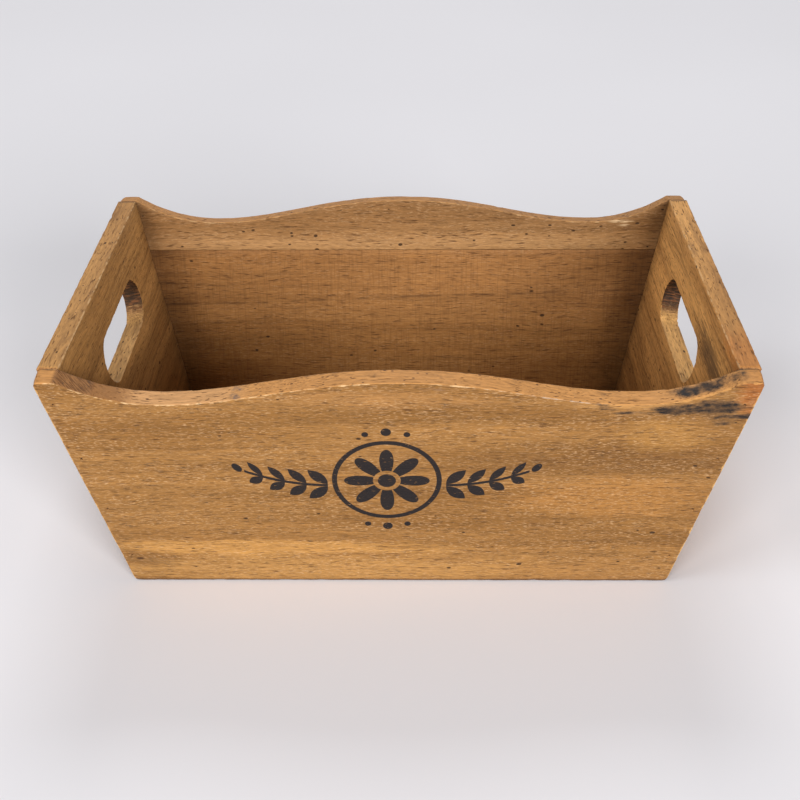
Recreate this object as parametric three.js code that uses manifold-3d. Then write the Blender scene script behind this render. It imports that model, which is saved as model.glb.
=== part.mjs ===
// Flared wooden crate with a wavy rim, hand slots in both ends and nailed corners.
// Millimetres. X runs along the length, Y from front to back, and the crate stands on Z = 0.
import * as THREE from 'three';
import { mergeVertices } from 'three/addons/utils/BufferGeometryUtils.js';
import Module from 'manifold-3d';

const wasm = await Module();
wasm.setup();

// Outside sizes, over the four walls
const topLength = 320;
const topWidth = 200;
const bottomLength = 268;
const bottomWidth = 160;
const height = 132;

// Boards, and the gap that a joint between two of them keeps
const wallThickness = 10;
const baseThickness = 10;
const jointGap = 0.3;

// Wavy rim of the front and back: a crest in the middle, a dip on each side, a flat land at each corner
const waveDepth = 12.7;
const dipFromEndWall = 45;
const crestRoundness = 0.42;
const dipRoundness = 0.34;
const outerFlankBow = 0.53;

// Back wall: width that its upper board keeps under a dip
const upperBoardUnderDip = 16.2;

// Hand slots, measured on the inside face of an end panel
const slotLength = 81;
const slotWidth = 24.6;
const slotBelowRim = 22;
const slotSetback = 3.5;

// Edges: round-overs along the floor and at the corners of the walls, and a light easing of the rest
const footRadius = 1.2;
const lowerCornerRadius = 3;
const upperCornerRadius = 2;
const easeRadius = 0.8;

// How far a slot's cutter runs on past both faces of its panel
const cutOverrun = 0.2;

// Brads, and how they are set
const bradRadius = 0.45;
const bradLength = 30;
const bradPoint = 2;
const bradSetDepth = 0.6;
const bradClearance = 0.25;
const cornerBradCount = 4;
const cornerBradFromFloor = 19;
const cornerBradFromRim = 14;
const baseBradCount = 3;
const baseBradFromSide = 25;

// Fineness of the facets
const curveSteps = 14;
const easeSteps = 2;
const roundSteps = 3;
const bradSides = 8;

// Derived angles and levels
const frontLean = Math.atan((topWidth - bottomWidth) / 2 / height);
const endLean = Math.atan((topLength - bottomLength) / 2 / height);
const reach = 2 * (topLength + topWidth + height);
const spare = 2 * wallThickness;
const up = new THREE.Vector3(0, 0, 1);
const down = new THREE.Vector3(0, 0, -1);

// Height of the wavy rim up the slope of the outside face: its inside edge is level with the end panels
const rimUpSlope = (height - wallThickness * Math.sin(frontLean)) / Math.cos(frontLean);
const landEnd = topLength / 2 - wallThickness / Math.cos(endLean);
const dipX = landEnd - dipFromEndWall;
const dipUpSlope = rimUpSlope - waveDepth;
const glueUpSlope = dipUpSlope - upperBoardUnderDip;

// A wall's frame has X along the wall, Y up its slope and Z out of its outside face
function wallFrame(turn, distance, lean) {
  const frame = new THREE.Group();
  frame.rotation.set(Math.PI / 2 + lean, 0, turn, 'ZXY');
  frame.position.set(distance * Math.sin(turn), -distance * Math.cos(turn), 0);
  frame.updateMatrixWorld(true);
  return frame;
}

const walls = {
  front: wallFrame(0, bottomWidth / 2, frontLean),
  right: wallFrame(Math.PI / 2, bottomLength / 2, endLean),
  back: wallFrame(Math.PI, bottomWidth / 2, frontLean),
  left: wallFrame(-Math.PI / 2, bottomLength / 2, endLean),
};

function outwardNormal(wall) {
  return new THREE.Vector3(0, 0, 1).transformDirection(wall.matrixWorld);
}

function pointInWall(wall, depth) {
  return new THREE.Vector3(0, 0, -depth).applyMatrix4(wall.matrixWorld);
}

// Closed geometry to solid and back
function toSolid(geometry, matrix) {
  const shape = geometry.clone().applyMatrix4(matrix);
  shape.deleteAttribute('normal');
  shape.deleteAttribute('uv');
  const merged = mergeVertices(shape);
  return new wasm.Manifold(new wasm.Mesh({
    numProp: 3,
    vertProperties: new Float32Array(merged.attributes.position.array),
    triVerts: new Uint32Array(merged.index.array),
  }));
}

function toGeometry(body, matrix) {
  const mesh = body.getMesh();
  const geometry = new THREE.BufferGeometry();
  geometry.setAttribute('position', new THREE.BufferAttribute(new Float32Array(mesh.vertProperties), 3));
  geometry.setIndex(new THREE.BufferAttribute(new Uint32Array(mesh.triVerts), 1));
  geometry.applyMatrix4(matrix);
  geometry.computeVertexNormals();
  return geometry;
}

// Everything on the far side of a plane is cut away
function trim(body, point, normal) {
  const block = new THREE.BoxGeometry(reach, reach, reach);
  block.translate(0, 0, reach / 2);
  const turn = new THREE.Quaternion().setFromUnitVectors(up, normal);
  const place = new THREE.Matrix4().compose(point, turn, new THREE.Vector3(1, 1, 1));
  return body.subtract(toSolid(block, place));
}

// Point on the straight edge where two planes meet, given in the plane of the two normals
function meetingPoint(pointA, normalA, pointB, normalB) {
  const cosine = normalA.dot(normalB);
  const a = pointA.dot(normalA);
  const b = pointB.dot(normalB);
  const scale = 1 - cosine * cosine;
  const edge = normalA.clone().multiplyScalar((a - b * cosine) / scale);
  return edge.addScaledVector(normalB, (b - a * cosine) / scale);
}

// The straight edge between two outside planes is rounded with flats that touch the round
function roundEdge(body, planeA, planeB, radius, steps) {
  const edge = meetingPoint(planeA.point, planeA.normal, planeB.point, planeB.normal);
  const sum = planeA.normal.clone().add(planeB.normal);
  const axis = edge.addScaledVector(sum, -radius / (1 + planeA.normal.dot(planeB.normal)));
  let rounded = body;
  for (let step = 1; step <= steps; step += 1) {
    const normal = planeA.normal.clone().lerp(planeB.normal, step / (steps + 1)).normalize();
    rounded = trim(rounded, axis.clone().addScaledVector(normal, radius), normal);
  }
  return rounded;
}

const floorPlane = { point: new THREE.Vector3(), normal: down };
const rimPlane = { point: new THREE.Vector3(0, 0, height), normal: up };

function outsidePlane(wall) {
  return { point: pointInWall(wall, 0), normal: outwardNormal(wall) };
}

function insidePlane(wall) {
  return { point: pointInWall(wall, wallThickness), normal: outwardNormal(wall).negate() };
}

// Outline of a front or back wall, oversize at the sides and foot. Lands can be raised out of the way.
function rimOutline(landRise) {
  const side = topLength / 2 + spare;
  const outline = new THREE.Shape();
  outline.moveTo(-side, -spare);
  outline.lineTo(side, -spare);
  outline.lineTo(side, rimUpSlope + landRise);
  outline.lineTo(landEnd, rimUpSlope + landRise);
  if (landRise > 0) {
    outline.lineTo(landEnd, rimUpSlope);
  }
  const bowX = dipX + outerFlankBow * dipFromEndWall;
  const crestHandle = crestRoundness * dipX;
  const dipHandle = dipX - dipRoundness * dipX;
  outline.quadraticCurveTo(bowX, dipUpSlope, dipX, dipUpSlope);
  outline.bezierCurveTo(dipHandle, dipUpSlope, crestHandle, rimUpSlope, 0, rimUpSlope);
  outline.bezierCurveTo(-crestHandle, rimUpSlope, -dipHandle, dipUpSlope, -dipX, dipUpSlope);
  outline.quadraticCurveTo(-bowX, dipUpSlope, -landEnd, rimUpSlope);
  if (landRise > 0) {
    outline.lineTo(-landEnd, rimUpSlope + landRise);
  }
  outline.lineTo(-side, rimUpSlope + landRise);
  return outline;
}

// Thick board of that outline with eased edges, from one depth behind the outside face to another
function easedBoard(outline, innerDepth, outerDepth) {
  const board = new THREE.ExtrudeGeometry(outline, {
    depth: innerDepth - outerDepth - 2 * easeRadius,
    bevelEnabled: true,
    bevelThickness: easeRadius,
    bevelSize: easeRadius,
    bevelOffset: -easeRadius,
    bevelSegments: easeSteps,
    curveSegments: curveSteps,
  });
  board.translate(0, 0, easeRadius - innerDepth);
  return board;
}

// Front or back wall, as it stands at the front, without its brad holes
function wavyWall() {
  const wall = walls.front;
  const outerEased = easedBoard(rimOutline(0), wallThickness + spare, 0);
  const innerEased = easedBoard(rimOutline(spare), wallThickness, -spare);
  const liftClear = easeRadius / 20;
  innerEased.translate(0, liftClear, 0);
  let body = toSolid(outerEased, wall.matrixWorld).intersect(toSolid(innerEased, wall.matrixWorld));
  const face = outsidePlane(wall);
  const rimEdge = {
    point: new THREE.Vector3(0, rimUpSlope, 0).applyMatrix4(wall.matrixWorld),
    normal: new THREE.Vector3(0, 1, 0).transformDirection(wall.matrixWorld),
  };
  body = trim(body, floorPlane.point, floorPlane.normal);
  body = roundEdge(body, face, floorPlane, footRadius, roundSteps);
  for (const end of [walls.left, walls.right]) {
    const side = outsidePlane(end);
    body = trim(body, side.point, side.normal);
    body = roundEdge(body, side, floorPlane, lowerCornerRadius, roundSteps);
    body = roundEdge(body, side, face, easeRadius, easeSteps);
    body = roundEdge(body, side, rimEdge, upperCornerRadius, roundSteps);
  }
  return body;
}

// Hand slot: a long hole with round ends whose edges flare out at both faces
function slotCutter(wall, towardsBack) {
  const radius = slotWidth / 2;
  const halfStraight = slotLength / 2 - radius;
  const flareRadius = easeRadius + cutOverrun;
  const outline = new THREE.Shape();
  outline.absarc(halfStraight, 0, radius, -Math.PI / 2, Math.PI / 2);
  outline.absarc(-halfStraight, 0, radius, Math.PI / 2, 1.5 * Math.PI);
  const cutter = new THREE.ExtrudeGeometry(outline, {
    depth: wallThickness - 2 * easeRadius,
    bevelEnabled: true,
    bevelThickness: flareRadius,
    bevelSize: -flareRadius,
    bevelOffset: flareRadius,
    bevelSegments: easeSteps,
    curveSegments: curveSteps,
  });
  const insideRim = (height - wallThickness * Math.sin(endLean)) / Math.cos(endLean);
  const centre = insideRim - slotBelowRim - radius;
  cutter.translate(towardsBack * slotSetback, centre, easeRadius - wallThickness);
  return toSolid(cutter, wall.matrixWorld);
}

// End panel between the front and back walls, without its brad holes
function endPanel(wall, towardsBack) {
  const board = new THREE.BoxGeometry(topWidth + spare, reach, wallThickness);
  board.translate(0, 0, -wallThickness / 2);
  let body = toSolid(board, wall.matrixWorld);
  body = trim(body, rimPlane.point, rimPlane.normal);
  body = trim(body, floorPlane.point, floorPlane.normal);
  for (const neighbour of [walls.front, walls.back]) {
    body = trim(body, pointInWall(neighbour, wallThickness + jointGap), outwardNormal(neighbour));
  }
  body = roundEdge(body, outsidePlane(wall), floorPlane, lowerCornerRadius, roundSteps);
  body = roundEdge(body, outsidePlane(wall), rimPlane, easeRadius, easeSteps);
  body = roundEdge(body, insidePlane(wall), rimPlane, easeRadius, easeSteps);
  return body.subtract(slotCutter(wall, towardsBack));
}

// Base panel set between the four walls, its edges cut to their lean
function basePanel() {
  const board = new THREE.BoxGeometry(topLength, topWidth, baseThickness);
  board.translate(0, 0, baseThickness / 2);
  let body = toSolid(board, new THREE.Matrix4());
  for (const wall of Object.values(walls)) {
    body = trim(body, pointInWall(wall, wallThickness + jointGap), outwardNormal(wall));
  }
  return body;
}

// A brad lies along Z with its head at Z = 0, and its hole runs on past the head and the point
function bradGeometry() {
  const profile = [
    new THREE.Vector2(0, -bradLength),
    new THREE.Vector2(bradRadius, bradPoint - bradLength),
    new THREE.Vector2(bradRadius, 0),
    new THREE.Vector2(0, 0),
  ];
  return new THREE.LatheGeometry(profile, bradSides).rotateX(Math.PI / 2);
}

function bradHole(place) {
  const radius = bradRadius + bradClearance;
  const beyondHead = bradSetDepth + wallThickness;
  const length = beyondHead + bradLength + bradClearance;
  const hole = new THREE.CylinderGeometry(radius, radius, length, bradSides).rotateX(Math.PI / 2);
  hole.translate(0, 0, beyondHead - length / 2);
  return toSolid(hole, place);
}

function joined(bodies) {
  return bodies.reduce((sum, body) => sum.add(body));
}

function spread(first, last, count) {
  return Array.from({ length: count }, (_, i) => first + (last - first) * i / (count - 1));
}

// Corner brads go square through a front or back wall into the middle of an end panel's thickness
function cornerBradPositions(side) {
  const levels = spread(cornerBradFromFloor, height - cornerBradFromRim, cornerBradCount);
  return levels.map((level) => {
    const jointLevel = level + wallThickness * Math.sin(frontLean);
    const panelOutside = bottomLength / 2 + jointLevel * Math.tan(endLean);
    const x = panelOutside - wallThickness / 2 / Math.cos(endLean);
    return new THREE.Vector3(side * x, level / Math.cos(frontLean), -bradSetDepth);
  });
}

// Base brads are driven level through an end panel into the middle of the base's thickness
function baseBradPositions(side) {
  const level = baseThickness / 2;
  const x = bottomLength / 2 + level * Math.tan(endLean) - bradSetDepth;
  const halfWidth = bottomWidth / 2 - baseBradFromSide;
  return spread(-halfWidth, halfWidth, baseBradCount).map((y) => new THREE.Vector3(side * x, y, level));
}

function bradMesh(name) {
  const steel = new THREE.MeshStandardMaterial({ color: 0x3b342e, roughness: 0.5, metalness: 0.9 });
  const mesh = new THREE.Mesh(bradGeometry(), steel);
  mesh.name = name;
  return mesh;
}

function holeInWall(wall, position) {
  const place = new THREE.Matrix4().makeTranslation(position.x, position.y, position.z);
  return bradHole(place.premultiply(wall.matrixWorld));
}

function boardMesh(name, body, frame, colour) {
  const wood = new THREE.MeshStandardMaterial({ color: colour, roughness: 0.7, metalness: 0 });
  const mesh = new THREE.Mesh(toGeometry(body, frame.matrixWorld.clone().invert()), wood);
  mesh.name = name;
  return mesh;
}

const crate = new THREE.Group();
crate.add(...Object.values(walls));

// Corner brads. A wall's own right is the crate's right at the front and its left at the back.
const cornerHoles = { left: [], right: [] };
const cornerSides = [
  { wallName: 'front', endName: 'left', side: -1 },
  { wallName: 'front', endName: 'right', side: 1 },
  { wallName: 'back', endName: 'left', side: 1 },
  { wallName: 'back', endName: 'right', side: -1 },
];
const wallHoles = [];
for (const { wallName, endName, side } of cornerSides) {
  cornerBradPositions(side).forEach((position, index) => {
    const brad = bradMesh(`corner_brad_${wallName}_${endName}_${index + 1}`);
    brad.position.copy(position);
    walls[wallName].add(brad);
    cornerHoles[endName].push(holeInWall(walls[wallName], position));
    if (wallName === 'front') {
      wallHoles.push(holeInWall(walls.front, position));
    }
  });
}

// Front wall of one board, back wall of two that meet at a glue line
const wavyBody = wavyWall().subtract(joined(wallHoles));
const slopeUp = new THREE.Vector3(0, 1, 0).transformDirection(walls.front.matrixWorld);
const slopeDown = slopeUp.clone().negate();
const lowerTop = new THREE.Vector3(0, glueUpSlope - jointGap / 2, 0).applyMatrix4(walls.front.matrixWorld);
const upperFoot = new THREE.Vector3(0, glueUpSlope + jointGap / 2, 0).applyMatrix4(walls.front.matrixWorld);
const lowerBody = trim(wavyBody, lowerTop, slopeUp);
const upperBody = trim(wavyBody, upperFoot, slopeDown);
walls.front.add(boardMesh('front_panel', wavyBody, walls.front, 0xae7c48));
walls.back.add(boardMesh('back_lower_board', lowerBody, walls.front, 0x8f653a));
walls.back.add(boardMesh('back_upper_board', upperBody, walls.front, 0xa97744));

// Ends and base, with their brads
let baseBody = basePanel();
for (const { endName, side } of [{ endName: 'left', side: -1 }, { endName: 'right', side: 1 }]) {
  const holes = cornerHoles[endName];
  baseBradPositions(side).forEach((position, index) => {
    const brad = bradMesh(`base_brad_${endName}_${index + 1}`);
    brad.position.copy(position);
    brad.rotation.y = side * Math.PI / 2;
    brad.updateMatrix();
    crate.add(brad);
    holes.push(bradHole(brad.matrix));
    baseBody = baseBody.subtract(bradHole(brad.matrix));
  });
  const endBody = endPanel(walls[endName], side).subtract(joined(holes));
  walls[endName].add(boardMesh(`${endName}_end_panel`, endBody, walls[endName], 0x9d6e3f));
}
crate.add(boardMesh('base_panel', baseBody, crate, 0x866039));

export default crate;
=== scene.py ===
import math

import bmesh
import bpy
from mathutils import Matrix, Vector, noise


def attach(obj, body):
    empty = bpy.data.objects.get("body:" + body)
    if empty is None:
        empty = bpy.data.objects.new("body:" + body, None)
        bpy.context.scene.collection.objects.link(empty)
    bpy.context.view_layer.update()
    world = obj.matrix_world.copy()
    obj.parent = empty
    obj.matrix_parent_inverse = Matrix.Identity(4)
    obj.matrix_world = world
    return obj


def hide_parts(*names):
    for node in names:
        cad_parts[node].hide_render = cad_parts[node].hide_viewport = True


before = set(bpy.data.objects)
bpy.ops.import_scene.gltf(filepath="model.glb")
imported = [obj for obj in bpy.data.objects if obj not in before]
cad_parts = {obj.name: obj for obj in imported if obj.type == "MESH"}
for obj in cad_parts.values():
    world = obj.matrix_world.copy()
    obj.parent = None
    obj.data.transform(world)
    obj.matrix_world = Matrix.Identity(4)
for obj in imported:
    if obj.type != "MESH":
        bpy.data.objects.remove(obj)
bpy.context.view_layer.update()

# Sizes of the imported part, in millimetres
TOP_LENGTH = 320.0
TOP_WIDTH = 200.0
BOTTOM_LENGTH = 268.0
BOTTOM_WIDTH = 160.0
HEIGHT = 132.0
WALL = 10.0
WAVE_DEPTH = 12.7
DIP_FROM_END_WALL = 45.0
CREST_ROUNDNESS = 0.42
DIP_ROUNDNESS = 0.34
OUTER_FLANK_BOW = 0.53
CREST_STEPS = 12
FLANK_STEPS = 8
GLUE_LINE = 103.1
SLOT_LEVEL = 98.3
SLOT_RADIUS = 12.3
SLOT_HALF = 28.2
SLOT_SETBACK = 3.5
PER_METRE = 1000.0

FRONT_LEAN = math.atan((TOP_WIDTH - BOTTOM_WIDTH) / 2 / HEIGHT)
END_LEAN = math.atan((TOP_LENGTH - BOTTOM_LENGTH) / 2 / HEIGHT)
RIM = (HEIGHT - WALL * math.sin(FRONT_LEAN)) / math.cos(FRONT_LEAN)
LAND_END = TOP_LENGTH / 2 - WALL / math.cos(END_LEAN)
DIP_X = LAND_END - DIP_FROM_END_WALL


# A wall's frame has X along the wall, Y up its slope and Z out of its outside face
def wall_frame(turn, distance, lean):
    turned = Matrix.Rotation(turn, 4, "Z") @ Matrix.Rotation(math.pi / 2 + lean, 4, "X")
    place = Vector((distance * math.sin(turn), -distance * math.cos(turn), 0))
    return Matrix.Translation(place) @ turned


WALLS = {
    "front": wall_frame(0, BOTTOM_WIDTH / 2, FRONT_LEAN),
    "right": wall_frame(math.pi / 2, BOTTOM_LENGTH / 2, END_LEAN),
    "back": wall_frame(math.pi, BOTTOM_WIDTH / 2, FRONT_LEAN),
    "left": wall_frame(-math.pi / 2, BOTTOM_LENGTH / 2, END_LEAN),
    "base": Matrix.Identity(4),
}


def bezier(points, t):
    while len(points) > 1:
        points = [a + (b - a) * t for a, b in zip(points, points[1:])]
    return points[0]


def rim_drop():
    """Drop of the wavy rim below its crest, as shares of the half length and of the wave's depth."""
    crest = [
        Vector((0, 0)),
        Vector((CREST_ROUNDNESS * DIP_X, 0)),
        Vector((DIP_X - DIP_ROUNDNESS * DIP_X, 1)),
        Vector((DIP_X, 1)),
    ]
    flank = [
        Vector((DIP_X, 1)),
        Vector((DIP_X + OUTER_FLANK_BOW * DIP_FROM_END_WALL, 1)),
        Vector((LAND_END, 0)),
    ]
    line = [bezier(crest, step / CREST_STEPS) for step in range(CREST_STEPS + 1)]
    line += [bezier(flank, step / FLANK_STEPS) for step in range(1, FLANK_STEPS + 1)]
    return [(point.x / (TOP_LENGTH / 2), point.y) for point in line]


def srgb(red, green, blue):
    """Linear colour of a colour written as it looks, from 0 to 255."""
    def linear(value):
        share = value / 255
        return share / 12.92 if share <= 0.04045 else ((share + 0.055) / 1.055) ** 2.4
    return (linear(red), linear(green), linear(blue), 1.0)


class Graph:
    """Node tree of one material, with short calls for the nodes that the wood needs."""

    def __init__(self, name):
        self.material = bpy.data.materials.new(name)
        self.material.use_nodes = True
        self.tree = self.material.node_tree
        self.tree.nodes.clear()
        self.shader = self.add("ShaderNodeBsdfPrincipled")
        output = self.add("ShaderNodeOutputMaterial")
        self.tree.links.new(self.shader.outputs[0], output.inputs["Surface"])

    def add(self, kind, inputs=None, **settings):
        node = self.tree.nodes.new(kind)
        for key, value in settings.items():
            setattr(node, key, value)
        for key, value in (inputs or {}).items():
            self.feed(node.inputs[key], value)
        return node

    def feed(self, socket, value):
        if isinstance(value, bpy.types.NodeSocket):
            self.tree.links.new(value, socket)
        else:
            socket.default_value = value

    def math(self, operation, *values):
        node = self.add("ShaderNodeMath", operation=operation)
        for socket, value in zip(node.inputs, values):
            self.feed(socket, value)
        return node.outputs[0]

    def plus(self, *values):
        total = values[0]
        for value in values[1:]:
            total = self.math("ADD", total, value)
        return total

    def less(self, a, b):
        return self.math("SUBTRACT", a, b)

    def times(self, *values):
        product = values[0]
        for value in values[1:]:
            product = self.math("MULTIPLY", product, value)
        return product

    def most(self, *values):
        greatest = values[0]
        for value in values[1:]:
            greatest = self.math("MAXIMUM", greatest, value)
        return greatest

    def length(self, a, b):
        return self.math("SQRT", self.plus(self.times(a, a), self.times(b, b)))

    def vector(self, operation, a, b):
        node = self.add("ShaderNodeVectorMath", {0: a, 1: b}, operation=operation)
        return node.outputs["Value" if operation == "DOT_PRODUCT" else "Vector"]

    def joined(self, x, y, z):
        return self.add("ShaderNodeCombineXYZ", {"X": x, "Y": y, "Z": z}).outputs[0]

    def noise(self, place, size, detail=2.0, roughness=0.5):
        stretched = self.vector("DIVIDE", place, size)
        inputs = {"Vector": stretched, "Scale": 1.0, "Detail": detail, "Roughness": roughness}
        return self.add("ShaderNodeTexNoise", inputs).outputs["Fac"]

    def cells(self, place, size):
        stretched = self.vector("DIVIDE", place, size)
        node = self.add("ShaderNodeTexVoronoi", {"Vector": stretched, "Scale": 1.0, "Randomness": 1.0})
        return node.outputs["Distance"], node.outputs["Color"]

    def ramp(self, value, low, high):
        inputs = {"Value": value, "From Min": low, "From Max": high}
        node = self.add("ShaderNodeMapRange", inputs, interpolation_type="SMOOTHSTEP")
        return node.outputs["Result"]

    def mix(self, share, a, b, blend="MIX"):
        node = self.add("ShaderNodeMix", data_type="RGBA", blend_type=blend)
        self.feed(node.inputs["Factor"], share)
        self.feed(node.inputs[6], a)
        self.feed(node.inputs[7], b)
        return node.outputs[2]

    def grey(self, value):
        inputs = {"Red": value, "Green": value, "Blue": value}
        return self.add("ShaderNodeCombineColor", inputs).outputs[0]


# Shift of the grain from board to board, and the cell that holds a pit, in millimetres
BOARDS_APART = (431.0, 137.0, 59.0)
PIT_CELL = (7.0, 3.6, 3.6)
TOP_PITS_SHIFT = (31.0, 0.0, 7.0)
SLOT_PITS_SHIFT = (5.0, 3.0, 9.0)

# Mean tint of the fibres, and how far they swing to dark and light in red, green and blue
FIBRE_HUE = (0.98, 0.90, 0.88)
FIBRE_SWING = (1.3, 1.6, 1.9)

# Surface of the wood: the bump's depth is in metres, and pores are rougher than raised fibres
BUMP_STRENGTH = 0.55
BUMP_DEPTH = 0.0004
PORE_HEIGHT = -0.3
FIBRE_HEIGHT = 0.5
SMOOTHEST = 0.52
ROUGHEST = 0.70
WOOD_SHEEN = 0.18

GOLD = srgb(206, 149, 84)
PALE = srgb(228, 190, 140)
BROWN = srgb(128, 84, 46)
END_LIGHT = srgb(186, 132, 78)
PIT_BROWN = srgb(60, 38, 22)
RIM_TAN = srgb(184, 128, 70)
STAIN = srgb(34, 29, 27)
INK = srgb(24, 24, 28)


class Wood(Graph):
    """Stained light wood whose grain runs along a wall's own X."""

    def __init__(self, name, wall, seed):
        super().__init__(name)
        place = self.add("ShaderNodeTexCoord").outputs["Object"]
        frame_matrix = WALLS[wall]
        point = self.vector("SCALE", place, (0, 0, 0))
        point.node.inputs["Scale"].default_value = PER_METRE
        local = self.vector("SUBTRACT", point, frame_matrix.to_translation())
        axes = [frame_matrix.to_3x3().col[index] for index in range(3)]
        self.along, self.across, self.out = [self.vector("DOT_PRODUCT", local, axis) for axis in axes]
        in_wall = self.joined(self.along, self.across, self.out)
        self.grain = self.vector("ADD", in_wall, [seed * apart for apart in BOARDS_APART])
        self.level = self.add("ShaderNodeSeparateXYZ", {0: point}).outputs["Z"]
        normal = self.add("ShaderNodeNewGeometry").outputs["Normal"]
        self.endness = self.math("ABSOLUTE", self.vector("DOT_PRODUCT", normal, axes[0]))
        self.outness = self.vector("DOT_PRODUCT", normal, axes[2])
        upness = self.vector("DOT_PRODUCT", normal, axes[1])
        self.inside = self.ramp(self.outness, -0.3, -0.7)
        self.top = self.ramp(upness, 0.55, 0.85)

    def ground(self, dark, middle, light):
        """Broad colour of the board, before its fibres."""
        self.wander = self.noise(self.grain, (70.0, 24.0, 24.0), 2.0)
        sway = self.times(self.less(self.wander, 0.5), 9.0)
        self.bent = self.vector("ADD", self.grain, self.joined(0.0, sway, 0.0))
        self.streaky = self.noise(self.bent, (34.0, 2.6, 5.0), 3.0, 0.6)
        self.fine = self.noise(self.bent, (7.0, 0.6, 0.8), 3.0, 0.65)
        broad = self.noise(self.bent, (260.0, 15.0, 22.0), 2.0)
        bands = self.noise(self.bent, (120.0, 3.2, 6.0), 2.0, 0.6)
        self.chips = self.noise(self.bent, (3.5, 3.5, 3.5), 2.0)
        colour = self.mix(self.ramp(broad, 0.36, 0.64), dark, light)
        colour = self.mix(0.45, colour, middle)
        streaks = self.grey(self.plus(0.75, self.times(bands, 0.5)))
        self.colour = self.mix(1.0, colour, streaks, "MULTIPLY")

    def fibres(self, flecks=1.0, pits=1.0, lines=1.0, shade=1.0):
        """Fibre lines, pale flecks, dark pores and pits over the broad colour."""
        flatness = self.ramp(self.math("ABSOLUTE", self.outness), 0.4, 0.8)
        face = self.plus(0.25, self.times(flatness, 0.75))
        long = self.noise(self.bent, (18.0, 0.9, 1.2), 3.0, 0.65)
        short = self.noise(self.bent, (5.0, 0.8, 1.0), 2.0, 0.6)
        fibre = self.plus(self.times(long, 0.45), self.times(short, 0.3), self.times(self.fine, 0.25))
        hues = list(zip(FIBRE_HUE, FIBRE_SWING))
        dark, light = (
            tuple(shade * share * (1 - reach * part) for share, reach in hues) + (1.0,)
            for part in (lines, -lines)
        )
        self.tint(1.0, self.mix(fibre, dark, light), "MULTIPLY")
        rows = self.ramp(self.noise(self.bent, (60.0, 5.0, 5.0), 2.0), 0.38, 0.60)
        fleck = self.ramp(self.noise(self.bent, (2.2, 0.46, 0.7), 1.0, 0.5), 0.54, 0.68)
        fleck = self.times(fleck, self.plus(0.45, self.times(rows, 0.55)), face, flecks)
        self.tint(self.times(fleck, 0.44), srgb(216, 175, 130))
        pore = self.ramp(self.noise(self.bent, (6.0, 0.55, 0.7), 1.0, 0.5), 0.58, 0.74)
        self.tint(self.times(pore, 0.75), srgb(78, 46, 22))
        pit = self.pits(self.bent, pits)
        self.tint(pit, srgb(46, 28, 16))
        self.height = self.less(self.times(fibre, 0.6), self.times(fleck, 0.2))
        self.height = self.less(self.height, self.times(pore, 0.6))
        self.height = self.less(self.height, self.times(pit, 1.4))

    def fibrous(self, mask):
        """Soft mask broken up into fibres."""
        return self.ramp(self.plus(mask, self.times(self.less(self.fine, 0.5), 2.2)), 0.35, 0.85)

    def pits(self, place, share, size=1.0):
        """Small holes, one in each chosen cell of the grain."""
        distance, chance = self.cells(place, [size * side for side in PIT_CELL])
        kept = self.add("ShaderNodeSeparateColor", {"Color": chance})
        radius = self.plus(0.07, self.times(kept.outputs["Green"], 0.11))
        near = self.ramp(self.less(distance, radius), 0.05, -0.03)
        chosen = self.math("LESS_THAN", kept.outputs["Red"], 0.10 * share)
        return self.times(near, chosen, 0.9)

    def tint(self, share, colour, blend="MIX"):
        self.colour = self.mix(share, self.colour, colour, blend)

    def spot(self, centre, half, soft=0.35, ragged=1.6, lean=0.0, second=None):
        """Soft patch round a centre, drawn out along the grain, with a ragged outline."""
        x = self.less(self.along, centre[0])
        y = self.less(self.less(second or self.across, centre[1]), self.times(x, lean))
        far = self.length(self.math("DIVIDE", x, half[0]), self.math("DIVIDE", y, half[1]))
        far = self.plus(far, self.times(self.less(self.streaky, 0.5), ragged))
        return self.ramp(far, 1.0 + soft, 1.0 - soft)

    def rim_gap(self):
        """Distance below the wavy rim."""
        share = self.math("DIVIDE", self.math("ABSOLUTE", self.along), TOP_LENGTH / 2)
        node = self.add("ShaderNodeFloatCurve", {"Value": share})
        points = node.mapping.curves[0].points
        line = rim_drop()
        points[0].location = line[0]
        points[1].location = (1.0, 0.0)
        for place in line[1:]:
            points.new(*place)
        node.mapping.update()
        rim = self.less(RIM, self.times(node.outputs[0], WAVE_DEPTH))
        return self.less(rim, self.across)

    def side_gap(self):
        """Distance in from the slanted side of a front or back board."""
        reach = self.plus(BOTTOM_LENGTH / 2, self.times(self.level, math.tan(END_LEAN)))
        return self.times(self.less(reach, self.math("ABSOLUTE", self.along)), math.cos(END_LEAN))

    def edge(self, gap, depth, width):
        """Strip along the edge where a gap and a depth both come to nothing, for wear and for painted
        highlights.
        """
        far = self.plus(self.length(gap, depth), self.times(self.less(self.chips, 0.5), 2.2 * width))
        return self.ramp(far, width, 0.4 * width)

    def painted_shade(self, gap, reach, strength):
        """Painted shade that darkens the inside towards an inside corner, where the board meets another
        part.
        """
        ragged = self.plus(gap, self.times(self.less(self.streaky, 0.5), 0.3 * reach))
        near = self.ramp(ragged, reach, 0.0)
        self.tint(self.times(near, self.inside, strength), (0.34, 0.30, 0.27, 1.0), "MULTIPLY")

    def end_grain(self):
        """Cut ends of the fibres: arcs of the rings, and pores."""
        cut = self.joined(self.times(self.along, 0.05), self.across, self.out)
        rings = self.noise(cut, (4.0, 7.0, 1.6), 3.0, 0.6)
        pores = self.noise(cut, (0.6, 0.5, 0.5), 2.0, 0.6)
        pattern = self.plus(self.times(rings, 0.6), self.times(pores, 0.4))
        colour = self.mix(self.ramp(pattern, 0.38, 0.62), BROWN, END_LIGHT)
        self.tint(self.ramp(self.endness, 0.5, 0.8), colour)

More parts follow.
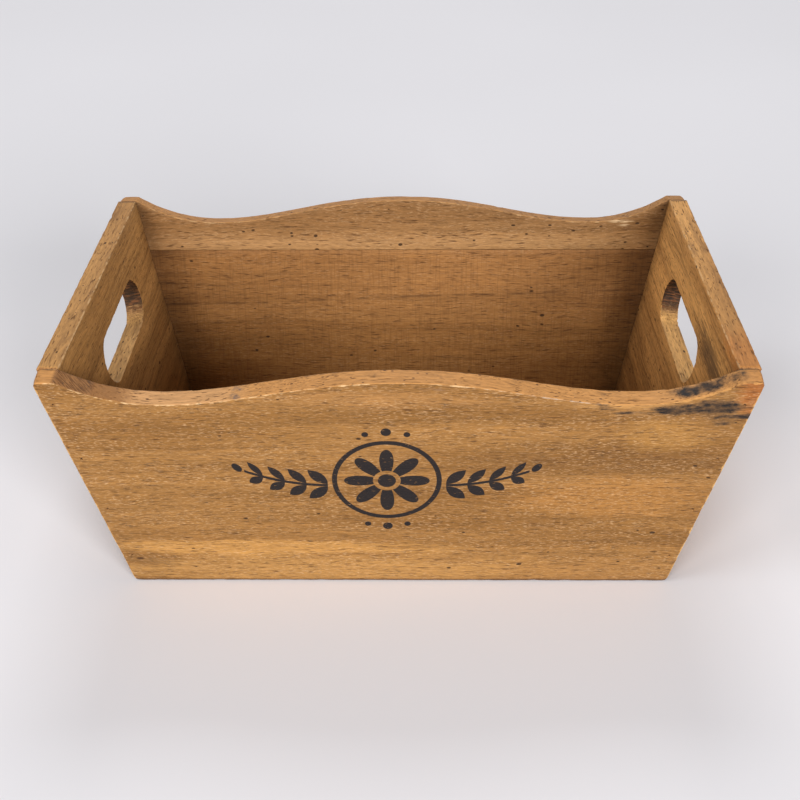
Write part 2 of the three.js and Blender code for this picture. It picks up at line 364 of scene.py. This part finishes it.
    def finish(self):
        inputs = {"Strength": BUMP_STRENGTH, "Distance": BUMP_DEPTH, "Height": self.height}
        bump = self.add("ShaderNodeBump", inputs)
        self.feed(self.shader.inputs["Normal"], bump.outputs[0])
        self.feed(self.shader.inputs["Base Color"], self.colour)
        inputs = {
            "Value": self.height,
            "From Min": PORE_HEIGHT,
            "From Max": FIBRE_HEIGHT,
            "To Min": ROUGHEST,
            "To Max": SMOOTHEST,
        }
        roughness = self.add("ShaderNodeMapRange", inputs).outputs["Result"]
        self.feed(self.shader.inputs["Roughness"], roughness)
        self.shader.inputs["Specular IOR Level"].default_value = WOOD_SHEEN
        return self.material


def ornament(wood, centre):
    """Share of ink in a rosette flanked by two leafy sprigs."""
    x = wood.less(wood.along, centre[0])
    y = wood.less(wood.across, centre[1])
    far = wood.length(x, y)
    turn = wood.math("ARCTAN2", y, x)
    petal = wood.math("POWER", wood.math("ABSOLUTE", wood.math("COSINE", wood.times(turn, 4.0))), 0.65)
    outline = wood.ramp(wood.less(far, wood.times(petal, 20.0)), 0.15, -0.15)
    petals = wood.times(outline, wood.ramp(far, 6.3, 6.6))
    heart = wood.ramp(far, 4.4, 4.1)
    ring = wood.ramp(wood.math("ABSOLUTE", wood.less(far, 24.4)), 1.35, 1.05)
    run = wood.less(wood.math("ABSOLUTE", x), 27.5)
    share = wood.math("DIVIDE", run, 40.0)
    rise = wood.less(y, wood.less(wood.times(share, share, 10.0), 3.0))
    on_stem = wood.times(wood.ramp(run, 0.0, 0.3), wood.ramp(run, 38.7, 38.4))
    stem = wood.times(wood.ramp(wood.math("ABSOLUTE", rise), 0.95, 0.65), on_stem)
    step = wood.less(wood.math("MODULO", run, 9.6), 4.8)
    scale = wood.less(1.1, wood.times(share, 0.42))
    side = wood.less(wood.math("ABSOLUTE", rise), wood.times(scale, 5.0))
    leaf_x = wood.times(wood.plus(step, side), 0.707)
    leaf_y = wood.times(wood.less(side, step), 0.707)
    tip = wood.math("DIVIDE", leaf_x, wood.times(scale, 6.2))
    width = wood.times(wood.less(1.0, wood.times(tip, tip)), scale, 2.7)
    leaf = wood.times(wood.ramp(wood.less(wood.math("ABSOLUTE", leaf_y), width), 0.15, -0.15), on_stem)
    bud = wood.ramp(wood.length(wood.less(run, 41.8), wood.less(rise, 0.6)), 2.5, 2.2)
    high = wood.math("ABSOLUTE", y)
    aside = wood.less(wood.math("ABSOLUTE", x), 9.5)
    dots = wood.ramp(wood.length(aside, wood.less(high, 29.5)), 1.7, 1.4)
    crown = wood.ramp(wood.length(x, wood.less(high, 31.0)), 2.5, 2.2)
    return wood.most(petals, heart, ring, stem, leaf, bud, dots, crown)


def wavy_edges(wood):
    """Rim, slanted sides and foot of a front or back board, with a painted highlight on the slanted
    sides and painted shade along the foot.
    """
    gap = wood.rim_gap()
    pits = wood.pits(wood.vector("ADD", wood.bent, TOP_PITS_SHIFT), 5.0, 0.65)
    wood.tint(wood.times(wood.top, pits), srgb(70, 44, 26))
    wood.end_grain()
    wood.tint(wood.times(wood.edge(gap, wood.plus(wood.out, WALL), 0.5), 0.4), PALE)
    # Painted highlight: pale golden strip where the slanted side's edge catches the light.
    wood.tint(wood.times(wood.edge(wood.side_gap(), wood.out, 0.9), 0.7), srgb(222, 174, 108))
    # Painted shade: a dark strip along the foot, where the rounded bottom edge lies in shadow.
    wood.tint(wood.times(wood.ramp(wood.level, 2.2, 0.8), 0.75), srgb(80, 50, 27))
    return gap


def front_patches(wood):
    """Darker and more golden parts of the front, broken up along the grain."""
    patches = (
        ((100.0, 83.0), (62.0, 8.0), 0.7, 0.45, srgb(101, 66, 30)),
        ((-40.0, 9.0), (110.0, 10.0), 0.5, 0.55, srgb(178, 130, 70)),
        ((-62.0, 25.0), (82.0, 5.0), 0.5, 0.75, srgb(180, 129, 66)),
        ((121.0, 101.0), (19.0, 8.0), 0.5, 0.75, srgb(154, 108, 52)),
        ((-5.0, 122.5), (42.0, 5.0), 0.6, 0.6, srgb(157, 110, 60)),
        ((103.0, 121.0), (20.0, 5.5), 0.5, 0.7, srgb(169, 121, 66)),
        ((90.0, 8.0), (45.0, 7.0), 0.6, 0.4, srgb(155, 109, 57)),
        ((157.0, 124.0), (8.0, 10.0), 0.6, 0.75, srgb(146, 82, 34)),
    )
    for centre, half, soft, share, colour in patches:
        wood.tint(wood.times(wood.spot(centre, half, soft, 2.0), share), colour)
    above = wood.ramp(wood.plus(wood.across, wood.times(wood.less(wood.streaky, 0.5), 2.0)), 46.0, 47.5)
    gold = wood.spot((103.0, 60.0), (44.0, 14.0), 0.5, 2.0)
    wood.tint(wood.times(gold, above, 0.75), srgb(156, 106, 51))


def front_stains(wood):
    """Black blotch that soaked into the right end, and the brown round it."""
    blot = wood.noise(wood.grain, (8.0, 2.6, 6.0), 3.0, 0.6)
    wisp = wood.noise(wood.grain, (2.2, 1.4, 2.0), 2.0, 0.6)
    blotches = (
        ((141.0, 118.0), (9.0, 4.0), 1.0),
        ((122.0, 116.0), (7.0, 2.2), 1.0),
        ((131.0, 117.0), (16.0, 2.4), 0.8),
        ((153.0, 112.6), (9.0, 1.2), 1.0),
        ((144.0, 110.5), (6.0, 4.0), 0.45),
        ((104.0, 114.8), (14.0, 0.9), 0.45),
    )
    soft = wood.times(wood.spot((89.5, 120.0), (7.0, 2.4), 0.9, 0.4, -0.6), 0.5)
    for centre, half, share in blotches:
        soft = wood.most(soft, wood.times(wood.spot(centre, half, 0.9, 0.4), share))
    smear = wood.spot((133.0, -5.5), (10.0, 3.0), 0.9, 0.4, 0.0, wood.out)
    fainter = wood.spot((145.0, -6.5), (9.0, 3.0), 0.9, 0.4, 0.0, wood.out)
    smear = wood.most(smear, wood.times(fainter, 0.5))
    face = wood.ramp(wood.outness, 0.4, 0.8)
    soft = wood.plus(wood.times(soft, face), wood.times(smear, wood.top))
    rough = wood.plus(wood.times(wood.less(blot, 0.5), 1.6), wood.times(wood.less(wisp, 0.5), 1.3))
    halo = wood.ramp(wood.plus(soft, wood.less(blot, 0.5)), 0.05, 0.6)
    wood.tint(wood.times(halo, 0.55), srgb(88, 68, 52))
    black = wood.ramp(wood.plus(soft, rough), 0.12, 1.02)
    wood.tint(wood.times(black, wood.plus(0.45, wood.times(blot, 0.9))), STAIN)


def front_marks(wood, gap):
    """Worn line of the outer top edge, a painted highlight on that edge at the right end, grey marks, a
    torn patch and a small knot.
    """
    line = wood.times(wood.edge(gap, wood.out, 0.55), wood.ramp(wood.along, 96.0, 84.0))
    tone = wood.mix(wood.ramp(wood.along, 20.0, 60.0), PALE, srgb(190, 168, 148))
    wood.tint(wood.times(line, 0.8), tone)
    # Painted highlight: golden strip along the rounded outer top edge at the right end.
    bright = wood.times(wood.edge(gap, wood.out, 0.9), wood.ramp(wood.along, 112.0, 122.0))
    wood.tint(wood.times(bright, 0.6), GOLD)
    grey = wood.times(wood.spot((-71.5, -4.0), (3.0, 6.0), 0.6, 1.2, 0.0, wood.out), wood.top)
    grey = wood.most(grey, wood.times(wood.spot((15.0, 128.5), (13.0, 1.8), 0.7), 0.6))
    broken = wood.ramp(wood.chips, 0.36, 0.62)
    wood.tint(wood.times(wood.fibrous(grey), grey, broken, 0.75), srgb(104, 90, 84))
    slant = wood.joined(wood.plus(wood.along, wood.out), wood.less(wood.along, wood.out), 0.0)
    scratch = wood.ramp(wood.noise(slant, (7.0, 0.7, 1.0), 2.0), 0.40, 0.62)
    past_step = wood.ramp(wood.along, -134.6, -135.2)
    torn = wood.times(past_step, wood.ramp(wood.along, -152.0, -150.0), wood.top)
    wood.tint(wood.times(torn, 0.85), wood.mix(scratch, srgb(86, 52, 27), srgb(142, 98, 57)))
    step = wood.ramp(wood.math("ABSOLUTE", wood.plus(wood.along, 134.9)), 0.5, 0.2)
    wood.tint(wood.times(step, wood.top, 0.6), BROWN)
    before_step = wood.ramp(wood.along, -135.2, -134.6)
    mottle = wood.times(wood.ramp(wood.along, -108.0, -128.0), before_step, wood.top)
    wood.tint(wood.times(wood.fibrous(mottle), mottle, 0.7), srgb(122, 80, 42))
    wood.tint(wood.times(wood.spot((-125.0, 15.5), (9.0, 3.5), 0.8), 0.45), srgb(104, 72, 40))
    wood.tint(wood.times(wood.spot((-129.0, 17.0), (1.7, 0.8), 0.5, 0.8), 0.9), srgb(70, 42, 22))
    crack = wood.ramp(wood.length(gap, wood.plus(wood.out, WALL)), 1.4, 0.6)
    at_end = wood.ramp(wood.math("ABSOLUTE", wood.less(wood.along, 149.0)), 3.0, 2.0)
    wood.tint(wood.times(crack, at_end, 0.9), STAIN)


def front_wood():
    wood = Wood("front_wood", "front", 1)
    wood.ground(srgb(115, 76, 33), srgb(134, 92, 44), srgb(146, 102, 52))
    front_patches(wood)
    wood.tint(wood.times(wood.top, 0.85), RIM_TAN)
    dip = wood.times(wood.ramp(wood.along, -128.0, -112.0), wood.ramp(wood.along, -60.0, -80.0))
    wood.tint(wood.times(dip, wood.top, 0.55), srgb(190, 143, 95))
    wood.fibres(1.0, 0.8, 1.1, 0.955)
    gap = wavy_edges(wood)
    front_marks(wood, gap)
    front_stains(wood)
    worn = wood.ramp(wood.noise(wood.bent, (3.0, 0.5, 0.5), 2.0), 0.27, 0.33)
    face = wood.ramp(wood.outness, 0.7, 0.9)
    wood.tint(wood.times(ornament(wood, (-5.5, 72.0)), face, worn, 0.97), INK)
    return wood.finish()


def back_upper_wood():
    wood = Wood("back_upper_wood", "back", 2)
    wood.ground(srgb(121, 82, 42), srgb(149, 105, 60), srgb(165, 119, 70))
    near_glue = wood.ramp(wood.across, GLUE_LINE + 12.0, GLUE_LINE + 2.0)
    wood.tint(wood.times(near_glue, 0.5), srgb(181, 135, 85))
    wood.tint(wood.times(wood.top, 0.85), RIM_TAN)
    # Painted shade: darkens the board towards its right end.
    wood.tint(wood.times(wood.ramp(wood.along, 40.0, -150.0), 0.5), (0.68, 0.68, 0.62, 1.0), "MULTIPLY")
    wood.fibres(0.6, 3.4, 1.1, 0.885)
    gap = wavy_edges(wood)
    wood.tint(wood.times(wood.edge(gap, wood.out, 0.6), 0.6), PALE)
    # Painted shade towards the inside corners at the two ends.
    wood.painted_shade(wood.less(wood.side_gap(), WALL), 12.0, 0.6)
    chips = wood.spot((-124.0, 119.6), (5.0, 0.8), 0.6, 2.4)
    chips = wood.most(chips, wood.spot((-126.0, 117.4), (3.0, 0.6), 0.6, 2.4))
    torn = wood.ramp(wood.fine, 0.40, 0.58)
    wood.tint(wood.times(chips, torn, wood.inside, 0.75), srgb(226, 194, 150))
    return wood.finish()


def back_lower_wood():
    wood = Wood("back_lower_wood", "back", 3)
    wood.ground(srgb(132, 89, 44), srgb(149, 103, 54), srgb(156, 110, 59))
    wood.fibres(0.35, 0.8, 0.7, 1.02)
    weave = wood.noise(wood.grain, (0.8, 14.0, 9.0), 2.0)
    wood.tint(wood.times(wood.ramp(weave, 0.48, 0.68), 0.24), srgb(92, 58, 30))
    seam = wood.plus(74.5, wood.times(wood.along, -0.035), wood.times(wood.less(wood.wander, 0.5), 5.0))
    seam = wood.ramp(wood.math("ABSOLUTE", wood.less(wood.across, seam)), 1.2, 0.2)
    broken = wood.ramp(wood.noise(wood.bent, (9.0, 4.0, 4.0), 2.0), 0.38, 0.6)
    wood.tint(wood.times(seam, broken, 0.5), srgb(84, 54, 30))
    wavy_edges(wood)
    # Painted shade towards the inside corners at the two ends.
    wood.painted_shade(wood.less(wood.side_gap(), WALL), 26.0, 0.75)
    # Painted light: brightens the lower part of the inside.
    low = wood.times(wood.ramp(wood.across, 80.0, 40.0), wood.inside)
    wood.tint(low, (1.22, 1.28, 1.28, 1.0), "MULTIPLY")
    # Painted shade on the inside towards the right end.
    right = wood.times(wood.ramp(wood.along, -60.0, -140.0), wood.inside, 0.6)
    wood.tint(right, (0.60, 0.58, 0.55, 1.0), "MULTIPLY")
    return wood.finish()


# Grain, tones, wear and strength of painted shade of the two end panels: back is the way along the
# panel to the crate's back
END_LOOKS = {
    "left": {
        "seed": 4,
        "back": -1.0,
        "tones": (srgb(132, 91, 46), srgb(152, 107, 57), srgb(165, 119, 66)),
        "flecks": 0.4,
        "shade": 0.88,
        "top": 1.06,
        "slot": 1.2,
        "corner_shade": 0.3,
        "foot_shade": 0.55,
    },
    "right": {
        "seed": 5,
        "back": 1.0,
        "tones": (srgb(148, 102, 52), srgb(178, 125, 67), srgb(199, 144, 79)),
        "flecks": 0.5,
        "shade": 0.93,
        "top": 0.88,
        "slot": 0.88,
        "corner_shade": 0.5,
        "foot_shade": 1.0,
    },
}


def worn_slot(wood, back, shade):
    """Cut faces of the hand slot, with their pits and burnt ends."""
    shift = wood.less(wood.along, back * SLOT_SETBACK)
    past = wood.most(wood.less(wood.math("ABSOLUTE", shift), SLOT_HALF), 0.0)
    rise = wood.less(wood.across, SLOT_LEVEL)
    cut = wood.ramp(wood.math("ABSOLUTE", wood.outness), 0.75, 0.45)
    cut = wood.times(cut, wood.ramp(wood.length(past, rise), SLOT_RADIUS + 2.0, SLOT_RADIUS + 1.0))
    wood.tint(cut, (shade, 1.08 * shade, 1.2 * shade, 1.0), "MULTIPLY")
    pits = wood.pits(wood.vector("ADD", wood.bent, SLOT_PITS_SHIFT), 3.0)
    wood.tint(wood.times(cut, pits), PIT_BROWN)
    tear = wood.noise(wood.grain, (2.4, 0.9, 6.0), 3.0, 0.65)
    burnt = wood.times(cut, wood.ramp(past, 0.5, 5.0))
    ragged = wood.plus(rise, wood.times(wood.less(tear, 0.5), 14.0))
    burnt = wood.times(burnt, wood.ramp(ragged, -13.0, -5.0))
    char = wood.mix(wood.ramp(tear, 0.46, 0.66), srgb(26, 14, 6), srgb(104, 62, 30))
    wood.tint(wood.times(burnt, 0.95), char)
    wood.height = wood.plus(wood.height, wood.times(burnt, tear, 2.5))


def end_wood(wall):
    look = END_LOOKS[wall]
    wood = Wood(wall + "_end_wood", wall, look["seed"])
    wood.ground(*look["tones"])
    if wall == "right":
        wood.tint(wood.times(wood.spot((30.0, 116.0), (60.0, 10.0), 0.7), 0.4), srgb(206, 150, 84))
        wood.tint(wood.times(wood.spot((-78.0, 132.0), (20.0, 5.0), 0.6), 0.5), srgb(164, 98, 44))
    wood.fibres(look["flecks"], 1.2, 1.5, look["shade"])
    streak = wood.ramp(wood.noise(wood.bent, (90.0, 2.4, 5.0), 3.0, 0.65), 0.50, 0.66)
    wood.tint(wood.times(streak, 0.42), srgb(84, 52, 25))
    if wall == "right":
        smear = wood.times(wood.spot((-52.0, 115.0), (34.0, 7.0), 0.9), wood.inside)
        wood.tint(wood.times(wood.fibrous(smear), smear, 0.8), srgb(70, 52, 38))
    gap = wood.less(HEIGHT, wood.level)
    top = wood.times(wood.top, wood.ramp(gap, 3.0, 1.0))
    wood.tint(top, (look["top"], look["top"], look["top"], 1.0), "MULTIPLY")
    pits = wood.pits(wood.vector("ADD", wood.bent, TOP_PITS_SHIFT), 6.0, 0.6)
    wood.tint(wood.times(top, pits), PIT_BROWN)
    wood.end_grain()
    wood.tint(wood.times(wood.edge(gap, wood.plus(wood.out, WALL), 0.6), 0.45), PALE)
    wood.tint(wood.times(wood.edge(gap, wood.out, 0.5), 0.35), PALE)
    worn_slot(wood, look["back"], look["slot"])
    # Painted shade: a dark strip along the foot, where the rounded bottom edge lies in shadow.
    wood.tint(wood.times(wood.ramp(wood.level, 2.2, 0.8), 0.6), srgb(98, 62, 34))
    foot_reach = BOTTOM_WIDTH / 2 - WALL / math.cos(FRONT_LEAN)
    reach = wood.plus(foot_reach, wood.times(wood.level, math.tan(FRONT_LEAN)))
    # Painted shade: the inside darkens towards the corners with the front and back boards, and towards
    # the base.
    wood.painted_shade(wood.less(reach, wood.math("ABSOLUTE", wood.along)), 14.0, look["corner_shade"])
    wood.painted_shade(wood.less(wood.level, WALL), 102.0, look["foot_shade"])
    return wood.finish()


def base_wood():
    wood = Wood("base_wood", "base", 6)
    wood.ground(srgb(140, 96, 54), srgb(160, 112, 66), srgb(176, 128, 78))
    wood.fibres(0.5, 1.2)
    wood.end_grain()
    return wood.finish()


def brad_steel():
    graph = Graph("brad_steel")
    place = graph.add("ShaderNodeTexCoord").outputs["Object"]
    rust = graph.ramp(graph.noise(place, (0.0004, 0.0004, 0.0004), 3.0), 0.4, 0.65)
    colour = graph.mix(rust, srgb(46, 40, 36), srgb(74, 50, 36))
    graph.feed(graph.shader.inputs["Base Color"], colour)
    graph.shader.inputs["Metallic"].default_value = 0.6
    graph.feed(graph.shader.inputs["Roughness"], graph.plus(0.45, graph.times(rust, 0.3)))
    return graph.material


MATERIALS = {
    "front_panel": front_wood(),
    "back_upper_board": back_upper_wood(),
    "back_lower_board": back_lower_wood(),
    "left_end_panel": end_wood("left"),
    "right_end_panel": end_wood("right"),
    "base_panel": base_wood(),
}
STEEL = brad_steel()
for name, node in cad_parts.items():
    node.data.materials.clear()
    node.data.materials.append(MATERIALS.get(name, STEEL))


# Boards with worn edges, which stand for the plain solids: spacing of their cuts, in millimetres
LAYERS = [-9.0, -7.0, -5.0, -3.0, -1.0]
ROW_STEP = 4.0
COLUMN_STEP = 2.5
SLIVER = 0.12

# Reach and depth of the wear, in millimetres, and the share of the noise that makes no chip
EDGE_REACH = 2.6
CORNER_REACH = 4.0
SWELL_DEPTH = 0.06
DENT_DEPTH = 0.5
CHIP_DEPTH = 2.0
CHIP_START = 0.45
CORNER_DEPTH = 0.6
WEAR_APART = Vector((71.0, 37.0, 19.0))
SHARP_ANGLE = math.radians(40)


def cut_across(shape, axis, places):
    """Splits every face that one of these planes crosses."""
    normal = [0.0, 0.0, 0.0]
    normal[axis] = 1.0
    for place in places:
        point = [0.0, 0.0, 0.0]
        point[axis] = place
        everything = shape.verts[:] + shape.edges[:] + shape.faces[:]
        bmesh.ops.bisect_plane(shape, geom=everything, dist=0.01, plane_co=point, plane_no=normal)


def evenly(low, high, step):
    """Places between two ends, about a step apart."""
    count = round((high - low) / step)
    return [low + (high - low) * index / count for index in range(1, count)]


def rim_at(along):
    """Drop of the wavy rim at a distance from the middle, as a share of the wave's depth."""
    share = abs(along) / (TOP_LENGTH / 2)
    line = rim_drop()
    for (x, y), (next_x, next_y) in zip(line, line[1:]):
        if share <= next_x:
            return y + (next_y - y) * (share - x) / (next_x - x)
    return 0.0


def wavy_gaps(spot, level):
    """Distances from a point of a front or back board to the surfaces that bound it."""
    side = (BOTTOM_LENGTH / 2 + level * math.tan(END_LEAN) - abs(spot.x)) * math.cos(END_LEAN)
    rim = RIM - WAVE_DEPTH * rim_at(spot.x) - spot.y
    return [-spot.z, spot.z + WALL, rim, side, level]


def end_gaps(back):
    """The same for an end panel, whose slot lies towards the back."""
    def gaps(spot, level):
        past = max(abs(spot.x - back * SLOT_SETBACK) - SLOT_HALF, 0.0)
        slot = math.hypot(past, spot.y - SLOT_LEVEL) - SLOT_RADIUS
        return [-spot.z, spot.z + WALL, HEIGHT - level, level, abs(slot)]
    return gaps


def cut_finer(shape):
    """Cuts a board's faces into small ones and merges the slivers between the cuts."""
    bmesh.ops.remove_doubles(shape, verts=shape.verts, dist=0.005)
    bmesh.ops.dissolve_limit(shape, angle_limit=math.radians(0.3), verts=shape.verts, edges=shape.edges)
    low = [min(vert.co[axis] for vert in shape.verts) for axis in range(3)]
    high = [max(vert.co[axis] for vert in shape.verts) for axis in range(3)]
    cut_across(shape, 2, LAYERS)
    cut_across(shape, 1, evenly(low[1], high[1], ROW_STEP))
    cut_across(shape, 0, evenly(low[0], high[0], COLUMN_STEP))
    bmesh.ops.remove_doubles(shape, verts=shape.verts, dist=SLIVER)
    bmesh.ops.dissolve_degenerate(shape, edges=shape.edges, dist=0.05)
    bmesh.ops.triangulate(shape, faces=shape.faces)
    shape.normal_update()


def wear(spot, edge, corner, away):
    """Depth to which a point is worn, from its distances to the nearest edge and corner."""
    near = max(0.0, 1.0 - edge / EDGE_REACH)
    tip = max(0.0, 1.0 - corner / CORNER_REACH)
    swell = SWELL_DEPTH * (1.0 + noise.noise(spot / 28.0))
    dents = DENT_DEPTH * max(0.0, noise.noise(spot / 5.0))
    chips = CHIP_DEPTH * max(0.0, noise.noise(spot / 3.1 + away) - CHIP_START)
    return swell + near * near * (dents + chips) + CORNER_DEPTH * near * tip * tip


def worn_board(name, wall, gaps, seed):
    to_wall = WALLS[wall].inverted() @ Matrix.Scale(PER_METRE, 4)
    shape = bmesh.new()
    shape.from_mesh(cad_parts[name].data)
    bmesh.ops.transform(shape, matrix=to_wall, verts=shape.verts)
    cut_finer(shape)
    away = seed * WEAR_APART
    moves = []
    for vert in shape.verts:
        level = (WALLS[wall] @ vert.co).z
        edge, corner = sorted(gaps(vert.co, level))[1:3]
        moves.append(wear(vert.co + away, edge, corner, away))
    for vert, move in zip(shape.verts, moves):
        vert.co -= vert.normal * move
    bmesh.ops.transform(shape, matrix=to_wall.inverted(), verts=shape.verts)
    for vert in shape.verts:
        vert.co.z = max(vert.co.z, 0.0)
    mesh = bpy.data.meshes.new(name + "_worn")
    shape.to_mesh(mesh)
    shape.free()
    mesh.shade_smooth()
    mesh.set_sharp_from_angle(angle=SHARP_ANGLE)
    mesh.materials.append(MATERIALS[name])
    board = bpy.data.objects.new(name + "_worn", mesh)
    bpy.context.scene.collection.objects.link(board)
    flat = board.modifiers.new("weighted_normals", "WEIGHTED_NORMAL")
    flat.keep_sharp = True
    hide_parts(name)
    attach(board, "root")


worn_board("front_panel", "front", wavy_gaps, 1)
worn_board("back_upper_board", "back", wavy_gaps, 2)
worn_board("back_lower_board", "back", wavy_gaps, 3)
worn_board("left_end_panel", "left", end_gaps(END_LOOKS["left"]["back"]), 4)
worn_board("right_end_panel", "right", end_gaps(END_LOOKS["right"]["back"]), 5)


# Floor, light and camera, in metres, watts and degrees
FLOOR_HALF = 6.0
LAMP_AIM = Vector((0, 0.1, 0.05))
LAMP_SIZE = 1.8
LAMPS = {
    "right_lamp": ((2.42, -4.30, 1.81), 212.0),
    "left_lamp": ((-2.36, -4.18, 2.15), 122.0),
    "side_lamp": ((-2.58, -1.60, 4.21), 48.0),
    "back_lamp": ((0.00, 3.24, 3.93), 78.0),
}
FILL_STRENGTH = 0.2
FILL_COLOUR = (1.0, 0.99, 1.0, 1.0)
BACKDROP_COLOUR = srgb(226, 223, 225)
CAMERA_PLACE = (0.00843, -0.55114, 0.41708)
CAMERA_ANGLES = (33.168, -0.929, -0.517)
PHOTO_PIXELS = 800
FOCAL_PIXELS = 1232.84
SENSOR_MM = 36.0


def floor():
    mesh = bpy.data.meshes.new("floor")
    corners = [(x * FLOOR_HALF, y * FLOOR_HALF, 0) for x, y in ((-1, -1), (1, -1), (1, 1), (-1, 1))]
    mesh.from_pydata(corners, [], [(0, 1, 2, 3)])
    plane = bpy.data.objects.new("floor", mesh)
    bpy.context.scene.collection.objects.link(plane)
    graph = Graph("floor_paper")
    place = graph.add("ShaderNodeTexCoord").outputs["Object"]
    speck = graph.noise(place, (0.6, 0.6, 0.6), 2.0)
    colour = graph.mix(graph.ramp(speck, 0.3, 0.7), srgb(230, 229, 233), srgb(233, 232, 236))
    graph.feed(graph.shader.inputs["Base Color"], colour)
    graph.shader.inputs["Roughness"].default_value = 0.9
    graph.shader.inputs["Specular IOR Level"].default_value = 0.1
    mesh.materials.append(graph.material)


def soft_lamp(name, place, power):
    lamp = bpy.data.lights.new(name, "AREA")
    lamp.shape = "RECTANGLE"
    lamp.size = LAMP_SIZE
    lamp.size_y = LAMP_SIZE
    lamp.energy = power
    holder = bpy.data.objects.new(name, lamp)
    bpy.context.scene.collection.objects.link(holder)
    holder.location = place
    holder.rotation_euler = (LAMP_AIM - Vector(place)).to_track_quat("-Z", "Y").to_euler()


def world_light():
    """Weak light from all round, and the pale backdrop that the camera and shiny faces see."""
    world = bpy.data.worlds.new("studio")
    bpy.context.scene.world = world
    world.use_nodes = True
    tree = world.node_tree
    tree.nodes.clear()
    light = tree.nodes.new("ShaderNodeBackground")
    light.inputs["Color"].default_value = FILL_COLOUR
    light.inputs["Strength"].default_value = FILL_STRENGTH
    backdrop = tree.nodes.new("ShaderNodeBackground")
    backdrop.inputs["Color"].default_value = BACKDROP_COLOUR
    path = tree.nodes.new("ShaderNodeLightPath")
    seen = path.outputs["Is Camera Ray"]
    for ray in ("Is Glossy Ray", "Is Transmission Ray"):
        either = tree.nodes.new("ShaderNodeMath")
        either.operation = "MAXIMUM"
        tree.links.new(seen, either.inputs[0])
        tree.links.new(path.outputs[ray], either.inputs[1])
        seen = either.outputs[0]
    choice = tree.nodes.new("ShaderNodeMixShader")
    output = tree.nodes.new("ShaderNodeOutputWorld")
    tree.links.new(seen, choice.inputs[0])
    tree.links.new(light.outputs[0], choice.inputs[1])
    tree.links.new(backdrop.outputs[0], choice.inputs[2])
    tree.links.new(choice.outputs[0], output.inputs["Surface"])


def camera():
    pitch, yaw, roll = (math.radians(angle) for angle in CAMERA_ANGLES)
    ahead = math.cos(pitch)
    forward = Vector((math.sin(yaw) * ahead, math.cos(yaw) * ahead, -math.sin(pitch)))
    right = Vector((math.cos(yaw), -math.sin(yaw), 0))
    up = right.cross(forward)
    right, up = (
        right * math.cos(roll) + up * math.sin(roll),
        up * math.cos(roll) - right * math.sin(roll),
    )
    data = bpy.data.cameras.new("camera")
    data.sensor_width = SENSOR_MM
    data.lens = FOCAL_PIXELS / PHOTO_PIXELS * SENSOR_MM
    data.clip_start = 0.01
    holder = bpy.data.objects.new("camera", data)
    bpy.context.scene.collection.objects.link(holder)
    turned = Matrix((right, up, -forward)).transposed()
    holder.matrix_world = Matrix.Translation(CAMERA_PLACE) @ turned.to_4x4()
    bpy.context.scene.camera = holder


floor()
for name, (place, power) in LAMPS.items():
    soft_lamp(name, place, power)
world_light()
camera()
bpy.context.scene.view_settings.view_transform = "Standard"
